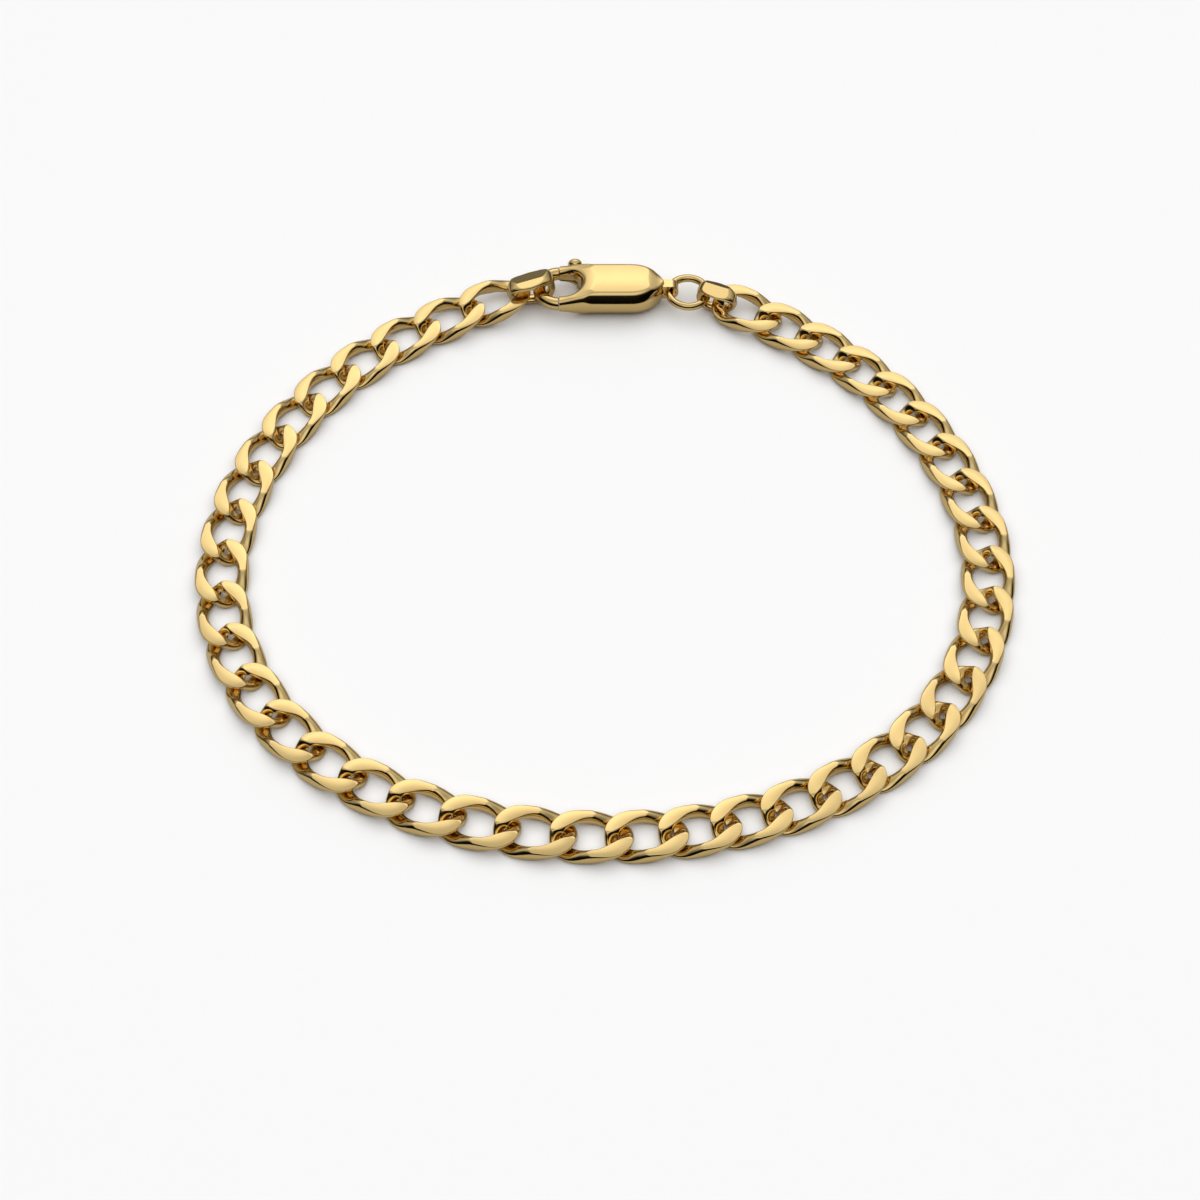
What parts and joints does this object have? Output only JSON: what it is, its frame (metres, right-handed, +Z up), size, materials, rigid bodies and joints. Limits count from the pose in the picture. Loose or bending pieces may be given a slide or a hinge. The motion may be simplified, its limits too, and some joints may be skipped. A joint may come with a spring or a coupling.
{
  "type": "curb chain bracelet",
  "caption": "Closed bracelet of flat-cut, interlocked curb links with a sprung trigger clasp, a jump ring and upright end links.",
  "frame": {"origin": "middle of the loop's outline in plan, on the table it lies on", "axes": "+Z up from the table; +Y from the loop's middle towards the clasp; +X from the claw towards the clasp's tail"},
  "size_m": [0.0712, 0.0644, 0.0034],
  "materials": {
    "chain_gold": "polished yellow gold, flat faces cut bright",
    "clasp_gold": "polished yellow gold, stamped hollow",
    "pin_gold": "satin yellow gold rivet",
    "spring_steel": "drawn spring wire"
  },
  "bodies": {
    "clasp": {"clasp_casing": "clasp_gold", "lever_pin": "pin_gold", "lever_spring": "spring_steel"},
    "claw_lever": {"claw_lever": "clasp_gold"},
    "claw_connector": {"claw_connector": "chain_gold"},
    "curb_link_01": {"curb_link_01": "chain_gold"},
    "curb_link_02": {"curb_link_02": "chain_gold"},
    "curb_link_03": {"curb_link_03": "chain_gold"},
    "curb_link_04": {"curb_link_04": "chain_gold"},
    "curb_link_05": {"curb_link_05": "chain_gold"},
    "curb_link_06": {"curb_link_06": "chain_gold"},
    "curb_link_07": {"curb_link_07": "chain_gold"},
    "curb_link_08": {"curb_link_08": "chain_gold"},
    "curb_link_09": {"curb_link_09": "chain_gold"},
    "curb_link_10": {"curb_link_10": "chain_gold"},
    "curb_link_11": {"curb_link_11": "chain_gold"},
    "curb_link_12": {"curb_link_12": "chain_gold"},
    "curb_link_13": {"curb_link_13": "chain_gold"},
    "curb_link_14": {"curb_link_14": "chain_gold"},
    "curb_link_15": {"curb_link_15": "chain_gold"},
    "curb_link_16": {"curb_link_16": "chain_gold"},
    "curb_link_17": {"curb_link_17": "chain_gold"},
    "curb_link_18": {"curb_link_18": "chain_gold"},
    "curb_link_19": {"curb_link_19": "chain_gold"},
    "curb_link_20": {"curb_link_20": "chain_gold"},
    "tail_ring": {"tail_ring": "chain_gold"},
    "tail_connector": {"tail_connector": "chain_gold"},
    "curb_link_40": {"curb_link_40": "chain_gold"},
    "curb_link_39": {"curb_link_39": "chain_gold"},
    "curb_link_38": {"curb_link_38": "chain_gold"},
    "curb_link_37": {"curb_link_37": "chain_gold"},
    "curb_link_36": {"curb_link_36": "chain_gold"},
    "curb_link_35": {"curb_link_35": "chain_gold"},
    "curb_link_34": {"curb_link_34": "chain_gold"},
    "curb_link_33": {"curb_link_33": "chain_gold"},
    "curb_link_32": {"curb_link_32": "chain_gold"},
    "curb_link_31": {"curb_link_31": "chain_gold"},
    "curb_link_30": {"curb_link_30": "chain_gold"},
    "curb_link_29": {"curb_link_29": "chain_gold"},
    "curb_link_28": {"curb_link_28": "chain_gold"},
    "curb_link_27": {"curb_link_27": "chain_gold"},
    "curb_link_26": {"curb_link_26": "chain_gold"},
    "curb_link_25": {"curb_link_25": "chain_gold"},
    "curb_link_24": {"curb_link_24": "chain_gold"},
    "curb_link_23": {"curb_link_23": "chain_gold"},
    "curb_link_22": {"curb_link_22": "chain_gold"},
    "curb_link_21": {"curb_link_21": "chain_gold"}
  },
  "joints": [
    {"name": "claw_connector_hinge", "type": "hinge", "parent": "clasp", "child": "claw_connector", "pos_m": [-0.0061, 0.02872, 0.0016], "axis": [0.1236, -0.9922, -0.0161], "range_deg": [-17, 16]},
    {"name": "curb_link_01_hinge", "type": "hinge", "parent": "claw_connector", "child": "curb_link_01", "pos_m": [-0.00806, 0.02845, 0.00141], "axis": [-0.1569, 0.9875, 0.0128], "range_deg": [-16, 14]},
    {"name": "curb_link_02_hinge", "type": "hinge", "parent": "curb_link_01", "child": "curb_link_02", "pos_m": [-0.01232, 0.02671, 0.00103], "axis": [0.2326, -0.9725, -0.0065], "range_deg": [-13, 12]},
    {"name": "curb_link_03_hinge", "type": "hinge", "parent": "curb_link_02", "child": "curb_link_03", "pos_m": [-0.01645, 0.0247, 0.00078], "axis": [-0.308, 0.9514, 0.0022], "range_deg": [-12, 11]},
    {"name": "curb_link_04_hinge", "type": "hinge", "parent": "curb_link_03", "child": "curb_link_04", "pos_m": [-0.02026, 0.02215, 0.00069], "axis": [0.3818, -0.9242, -0.0007], "range_deg": [-11, 10]},
    {"name": "curb_link_05_hinge", "type": "hinge", "parent": "curb_link_04", "child": "curb_link_05", "pos_m": [-0.02371, 0.01912, 0.00067], "axis": [-0.4538, 0.8911, 0.0002], "range_deg": [-11, 10]},
    {"name": "curb_link_06_hinge", "type": "hinge", "parent": "curb_link_05", "child": "curb_link_06", "pos_m": [-0.02672, 0.01566, 0.00065], "axis": [0.5235, -0.852, 0], "range_deg": [-11, 10]},
    {"name": "curb_link_07_hinge", "type": "hinge", "parent": "curb_link_06", "child": "curb_link_07", "pos_m": [-0.02924, 0.01182, 0.00065], "axis": [-0.5905, 0.8071, 0], "range_deg": [-10, 9]},
    {"name": "curb_link_08_hinge", "type": "hinge", "parent": "curb_link_07", "child": "curb_link_08", "pos_m": [-0.0312, 0.00768, 0.00065], "axis": [0.6542, -0.7563, 0], "range_deg": [-10, 9]},
    {"name": "curb_link_09_hinge", "type": "hinge", "parent": "curb_link_08", "child": "curb_link_09", "pos_m": [-0.03253, 0.00329, 0.00065], "axis": [-0.7141, 0.7001, 0], "range_deg": [-9, 8]},
    {"name": "curb_link_10_hinge", "type": "hinge", "parent": "curb_link_09", "child": "curb_link_10", "pos_m": [-0.03315, -0.00125, 0.00065], "axis": [0.7692, -0.639, 0], "range_deg": [-8, 8]},
    {"name": "curb_link_11_hinge", "type": "hinge", "parent": "curb_link_10", "child": "curb_link_11", "pos_m": [-0.03299, -0.00582, 0.00065], "axis": [-0.8189, 0.574, 0], "range_deg": [-8, 7]},
    {"name": "curb_link_12_hinge", "type": "hinge", "parent": "curb_link_11", "child": "curb_link_12", "pos_m": [-0.03199, -0.01028, 0.00065], "axis": [0.8622, -0.5065, 0], "range_deg": [-8, 7]},
    {"name": "curb_link_13_hinge", "type": "hinge", "parent": "curb_link_12", "child": "curb_link_13", "pos_m": [-0.03018, -0.01447, 0.00065], "axis": [-0.8988, 0.4384, 0], "range_deg": [-7, 6.5]},
    {"name": "curb_link_14_hinge", "type": "hinge", "parent": "curb_link_13", "child": "curb_link_14", "pos_m": [-0.02761, -0.01825, 0.00065], "axis": [0.9285, -0.3713, 0], "range_deg": [-7, 6.5]},
    {"name": "curb_link_15_hinge", "type": "hinge", "parent": "curb_link_14", "child": "curb_link_15", "pos_m": [-0.02441, -0.02152, 0.00065], "axis": [-0.9518, 0.3066, 0], "range_deg": [-7, 6.5]},
    {"name": "curb_link_16_hinge", "type": "hinge", "parent": "curb_link_15", "child": "curb_link_16", "pos_m": [-0.02072, -0.02423, 0.00065], "axis": [0.9695, -0.245, 0], "range_deg": [-7, 6.5]},
    {"name": "curb_link_17_hinge", "type": "hinge", "parent": "curb_link_16", "child": "curb_link_17", "pos_m": [-0.01666, -0.02638, 0.00065], "axis": [-0.9824, 0.1866, 0], "range_deg": [-7, 6.5]},
    {"name": "curb_link_18_hinge", "type": "hinge", "parent": "curb_link_17", "child": "curb_link_18", "pos_m": [-0.01236, -0.02798, 0.00065], "axis": [0.9914, -0.1309, 0], "range_deg": [-7, 6]},
    {"name": "curb_link_19_hinge", "type": "hinge", "parent": "curb_link_18", "child": "curb_link_19", "pos_m": [-0.00789, -0.02906, 0.00065], "axis": [-0.997, 0.0775, 0], "range_deg": [-7, 6]},
    {"name": "curb_link_20_hinge", "type": "hinge", "parent": "curb_link_19", "child": "curb_link_20", "pos_m": [-0.00333, -0.02965, 0.00065], "axis": [0.9997, -0.026, 0], "range_deg": [-7, 6]},
    {"name": "tail_ring_hinge", "type": "hinge", "parent": "clasp", "child": "tail_ring", "pos_m": [0.00611, 0.02872, 0.0016], "axis": [-0.0838, -0.9963, -0.0162], "range_deg": [-17, 16]},
    {"name": "tail_connector_hinge", "type": "hinge", "parent": "tail_ring", "child": "tail_connector", "pos_m": [0.00958, 0.02786, 0.00155], "axis": [0.1441, 0.9894, 0.0155], "range_deg": [-16, 14]},
    {"name": "curb_link_40_hinge", "type": "hinge", "parent": "tail_connector", "child": "curb_link_40", "pos_m": [0.01141, 0.02739, 0.0012], "axis": [-0.176, -0.9843, -0.0095], "range_deg": [-16, 14]},
    {"name": "curb_link_39_hinge", "type": "hinge", "parent": "curb_link_40", "child": "curb_link_39", "pos_m": [0.01522, 0.0254, 0.00093], "axis": [0.2466, 0.9691, 0.0048], "range_deg": [-9, 9]},
    {"name": "curb_link_38_hinge", "type": "hinge", "parent": "curb_link_39", "child": "curb_link_38", "pos_m": [0.0189, 0.02318, 0.00074], "axis": [-0.3172, -0.9484, -0.0016], "range_deg": [-7, 8]},
    {"name": "curb_link_37_hinge", "type": "hinge", "parent": "curb_link_38", "child": "curb_link_37", "pos_m": [0.02227, 0.02052, 0.00068], "axis": [0.3866, 0.9222, 0.0006], "range_deg": [-6, 6.5]},
    {"name": "curb_link_36_hinge", "type": "hinge", "parent": "curb_link_37", "child": "curb_link_36", "pos_m": [0.02528, 0.01746, 0.00066], "axis": [-0.4544, -0.8908, -0.0002], "range_deg": [-5, 6]},
    {"name": "curb_link_35_hinge", "type": "hinge", "parent": "curb_link_36", "child": "curb_link_35", "pos_m": [0.0279, 0.01406, 0.00065], "axis": [0.5204, 0.8539, 0], "range_deg": [-5, 5.5]},
    {"name": "curb_link_34_hinge", "type": "hinge", "parent": "curb_link_35", "child": "curb_link_34", "pos_m": [0.03006, 0.01035, 0.00065], "axis": [-0.5841, -0.8117, 0], "range_deg": [-5, 5.5]},
    {"name": "curb_link_33_hinge", "type": "hinge", "parent": "curb_link_34", "child": "curb_link_33", "pos_m": [0.0317, 0.00639, 0.00065], "axis": [0.645, 0.7642, 0], "range_deg": [-4.5, 5]},
    {"name": "curb_link_32_hinge", "type": "hinge", "parent": "curb_link_33", "child": "curb_link_32", "pos_m": [0.03278, 0.00224, 0.00065], "axis": [-0.7025, -0.7117, 0], "range_deg": [-4, 5]},
    {"name": "curb_link_31_hinge", "type": "hinge", "parent": "curb_link_32", "child": "curb_link_31", "pos_m": [0.03321, -0.00202, 0.00065], "axis": [0.7558, 0.6548, 0], "range_deg": [-3.5, 4]},
    {"name": "curb_link_30_hinge", "type": "hinge", "parent": "curb_link_31", "child": "curb_link_30", "pos_m": [0.03296, -0.0063, 0.00065], "axis": [-0.8043, -0.5943, 0], "range_deg": [-3.5, 4]},
    {"name": "curb_link_29_hinge", "type": "hinge", "parent": "curb_link_30", "child": "curb_link_29", "pos_m": [0.03197, -0.01046, 0.00065], "axis": [0.8471, 0.5314, 0], "range_deg": [-3.2, 3.6]},
    {"name": "curb_link_28_hinge", "type": "hinge", "parent": "curb_link_29", "child": "curb_link_28", "pos_m": [0.03027, -0.01438, 0.00065], "axis": [-0.8839, -0.4677, 0], "range_deg": [-3.2, 3.6]},
    {"name": "curb_link_27_hinge", "type": "hinge", "parent": "curb_link_28", "child": "curb_link_27", "pos_m": [0.0279, -0.01795, 0.00065], "axis": [0.9144, 0.4047, 0], "range_deg": [-3.2, 3.6]},
    {"name": "curb_link_26_hinge", "type": "hinge", "parent": "curb_link_27", "child": "curb_link_26", "pos_m": [0.02497, -0.02107, 0.00065], "axis": [-0.9391, -0.3436, 0], "range_deg": [-3.2, 3.6]},
    {"name": "curb_link_25_hinge", "type": "hinge", "parent": "curb_link_26", "child": "curb_link_25", "pos_m": [0.02159, -0.0237, 0.00065], "axis": [0.9585, 0.2851, 0], "range_deg": [-4, 4.5]},
    {"name": "curb_link_24_hinge", "type": "hinge", "parent": "curb_link_25", "child": "curb_link_24", "pos_m": [0.01787, -0.02584, 0.00065], "axis": [-0.9734, -0.2293, 0], "range_deg": [-4, 4.5]},
    {"name": "curb_link_23_hinge", "type": "hinge", "parent": "curb_link_24", "child": "curb_link_23", "pos_m": [0.01391, -0.0275, 0.00065], "axis": [0.9844, 0.176, 0], "range_deg": [-5, 5]},
    {"name": "curb_link_22_hinge", "type": "hinge", "parent": "curb_link_23", "child": "curb_link_22", "pos_m": [0.00978, -0.02869, 0.00065], "axis": [-0.9922, -0.1247, 0], "range_deg": [-5, 5]},
    {"name": "curb_link_21_hinge", "type": "hinge", "parent": "curb_link_22", "child": "curb_link_21", "pos_m": [0.00555, -0.02944, 0.00065], "axis": [0.9972, 0.0744, 0], "range_deg": [-5, 5]},
    {"name": "claw_lever_pivot", "type": "hinge", "parent": "clasp", "child": "claw_lever", "pos_m": [-0.0023, 0.03042, 0.0016], "axis": [0, 0, -1], "range_deg": [0, 28], "stiffness_Nm_per_rad": 0.001, "springref_deg": -11.46}
  ]
}
